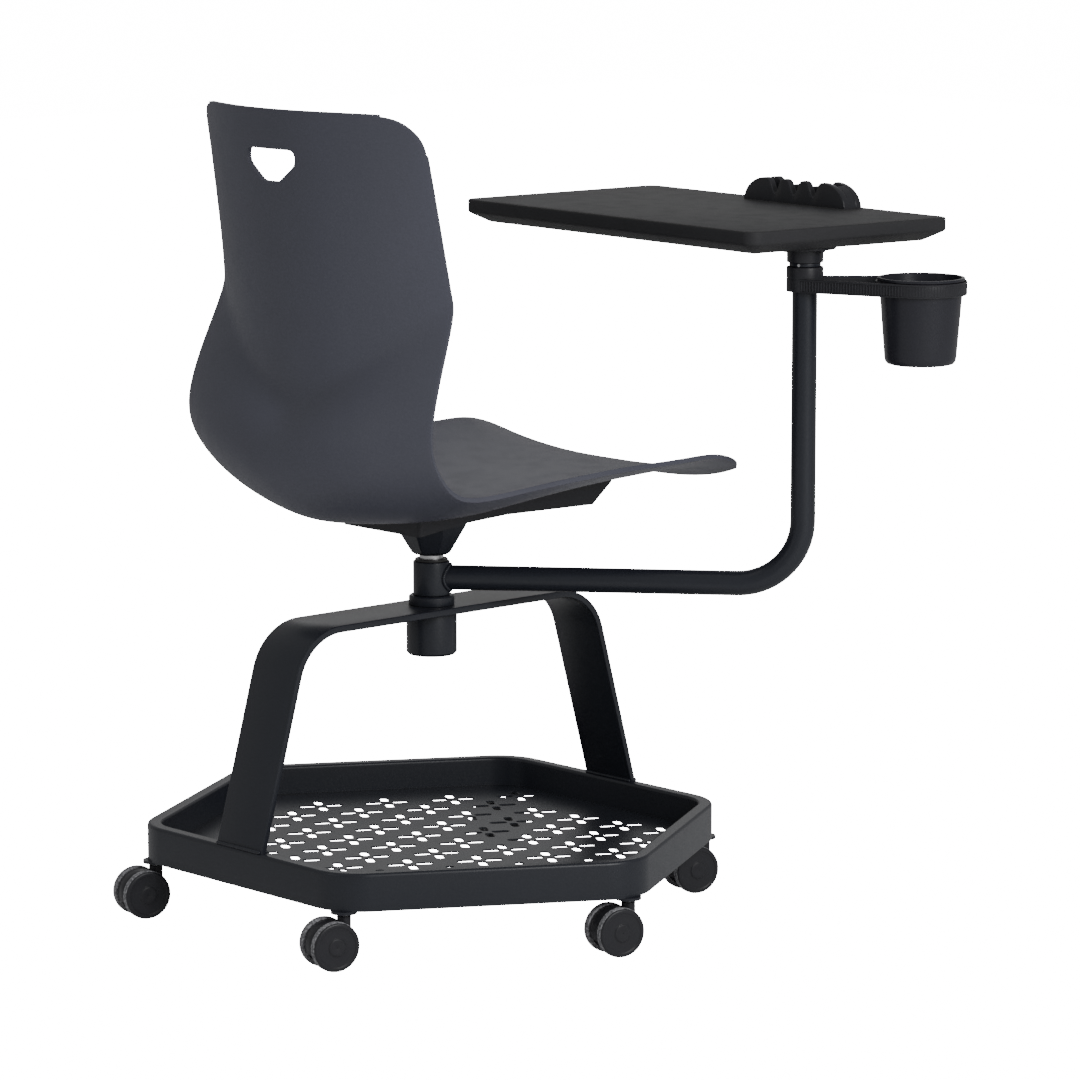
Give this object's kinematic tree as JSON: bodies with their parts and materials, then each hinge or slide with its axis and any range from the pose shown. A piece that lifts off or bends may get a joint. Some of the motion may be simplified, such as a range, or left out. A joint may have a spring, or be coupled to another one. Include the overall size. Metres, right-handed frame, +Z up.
{
  "type": "student desk chair",
  "caption": "School chair with a one-piece shell seat that turns on a base with casters, a swinging tablet arm with cup and pen holders, and a bag tray under the seat.",
  "frame": {"origin": "on the floor under the column's axis", "axes": "+Z is up; the sitter faces -Y, and +X is on the sitter's left"},
  "size_m": [0.7553, 0.7103, 0.8312],
  "materials": {
    "black_powder_coat": "semi-gloss powder coat",
    "charcoal_shell": "fine textured moulding",
    "charcoal_tabletop": "matte with a fine grain",
    "black_moulding": "satin moulding",
    "black_cup": "satin moulding",
    "grey_tread": "soft matte tread",
    "bearing_plastic": "self-lubricating bush",
    "bright_steel": "zinc plated",
    "dark_steel": "blackened screws"
  },
  "bodies": {
    "base": {"hex_rim": "black_powder_coat", "tray_floor": "black_powder_coat", "caster_sockets": "black_powder_coat", "arch_band": "black_powder_coat", "leg_weld_beads": "black_powder_coat", "column_housing": "black_powder_coat", "housing_cap": "black_moulding", "column_collar": "black_powder_coat", "spindle_bearings": "bright_steel"},
    "seat": {"seat_shell": "charcoal_shell", "seat_support": "black_moulding", "seat_hub": "black_powder_coat", "seat_screws": "dark_steel", "spindle": "bright_steel", "spindle_circlip": "bright_steel"},
    "arm": {"arm_collar": "black_powder_coat", "arm_bush": "bearing_plastic", "bearing_ring": "bearing_plastic", "arm_tube": "black_powder_coat", "post_cap": "black_moulding", "stop_ring": "black_powder_coat", "stop_pin": "bright_steel"},
    "tablet": {"tabletop": "charcoal_tabletop", "pen_holder": "black_moulding", "tablet_swivel": "black_moulding", "tablet_screws": "dark_steel", "post_bush": "bearing_plastic"},
    "cup_holder": {"cup_ring": "black_powder_coat", "clamp_screw": "bright_steel"},
    "cup": {"cup": "black_cup"},
    "caster_1": {"caster_stem_1": "bright_steel", "caster_hood_1": "black_moulding", "caster_axle_1": "bright_steel"},
    "wheels_1": {"caster_wheels_1": "black_moulding", "caster_treads_1": "grey_tread"},
    "caster_2": {"caster_stem_2": "bright_steel", "caster_hood_2": "black_moulding", "caster_axle_2": "bright_steel"},
    "wheels_2": {"caster_wheels_2": "black_moulding", "caster_treads_2": "grey_tread"},
    "caster_3": {"caster_stem_3": "bright_steel", "caster_hood_3": "black_moulding", "caster_axle_3": "bright_steel"},
    "wheels_3": {"caster_wheels_3": "black_moulding", "caster_treads_3": "grey_tread"},
    "caster_4": {"caster_stem_4": "bright_steel", "caster_hood_4": "black_moulding", "caster_axle_4": "bright_steel"},
    "wheels_4": {"caster_wheels_4": "black_moulding", "caster_treads_4": "grey_tread"},
    "caster_5": {"caster_stem_5": "bright_steel", "caster_hood_5": "black_moulding", "caster_axle_5": "bright_steel"},
    "wheels_5": {"caster_wheels_5": "black_moulding", "caster_treads_5": "grey_tread"},
    "caster_6": {"caster_stem_6": "bright_steel", "caster_hood_6": "black_moulding", "caster_axle_6": "bright_steel"},
    "wheels_6": {"caster_wheels_6": "black_moulding", "caster_treads_6": "grey_tread"}
  },
  "joints": [
    {"name": "seat_swivel", "type": "hinge", "parent": "base", "child": "seat", "pos_m": [0, 0, 0.31], "axis": [0, 0, 1], "continuous": true},
    {"name": "arm_swing", "type": "hinge", "parent": "seat", "child": "arm", "pos_m": [0, 0, 0.341], "axis": [0, 0, 1], "range_deg": [-55, 60]},
    {"name": "tablet_swivel_turn", "type": "hinge", "parent": "arm", "child": "tablet", "pos_m": [-0.28926, -0.24705, 0.68], "axis": [0, 0, 1], "range_deg": [-90, 25]},
    {"name": "cup_holder_swing", "type": "hinge", "parent": "arm", "child": "cup_holder", "pos_m": [-0.28926, -0.24705, 0.65], "axis": [0, 0, 1], "range_deg": [-90, 90]},
    {"name": "cup_lift", "type": "slide", "parent": "cup_holder", "child": "cup", "axis": [0, 0, 1], "range_m": [0, 0.026]},
    {"name": "caster_swivel_1", "type": "hinge", "parent": "base", "child": "caster_1", "pos_m": [-0.14895, -0.24587, 0.07], "axis": [0, 0, 1], "continuous": true},
    {"name": "wheel_roll_1", "type": "hinge", "parent": "caster_1", "child": "wheels_1", "pos_m": [-0.14494, -0.23038, 0.025], "axis": [-0.9681, 0.2504, 0], "continuous": true},
    {"name": "caster_swivel_2", "type": "hinge", "parent": "base", "child": "caster_2", "pos_m": [0.14895, -0.24587, 0.07], "axis": [0, 0, 1], "continuous": true},
    {"name": "wheel_roll_2", "type": "hinge", "parent": "caster_2", "child": "wheels_2", "pos_m": [0.15296, -0.23038, 0.025], "axis": [-0.9681, 0.2504, 0], "continuous": true},
    {"name": "caster_swivel_3", "type": "hinge", "parent": "base", "child": "caster_3", "pos_m": [0.29409, 0, 0.07], "axis": [0, 0, 1], "continuous": true},
    {"name": "wheel_roll_3", "type": "hinge", "parent": "caster_3", "child": "wheels_3", "pos_m": [0.29809, 0.01549, 0.025], "axis": [-0.9681, 0.2504, 0], "continuous": true},
    {"name": "caster_swivel_4", "type": "hinge", "parent": "base", "child": "caster_4", "pos_m": [0.14895, 0.24587, 0.07], "axis": [0, 0, 1], "continuous": true},
    {"name": "wheel_roll_4", "type": "hinge", "parent": "caster_4", "child": "wheels_4", "pos_m": [0.15296, 0.26137, 0.025], "axis": [-0.9681, 0.2504, 0], "continuous": true},
    {"name": "caster_swivel_5", "type": "hinge", "parent": "base", "child": "caster_5", "pos_m": [-0.14895, 0.24587, 0.07], "axis": [0, 0, 1], "continuous": true},
    {"name": "wheel_roll_5", "type": "hinge", "parent": "caster_5", "child": "wheels_5", "pos_m": [-0.14494, 0.26137, 0.025], "axis": [-0.9681, 0.2504, 0], "continuous": true},
    {"name": "caster_swivel_6", "type": "hinge", "parent": "base", "child": "caster_6", "pos_m": [-0.29409, 0, 0.07], "axis": [0, 0, 1], "continuous": true},
    {"name": "wheel_roll_6", "type": "hinge", "parent": "caster_6", "child": "wheels_6", "pos_m": [-0.29008, 0.01549, 0.025], "axis": [-0.9681, 0.2504, 0], "continuous": true}
  ]
}
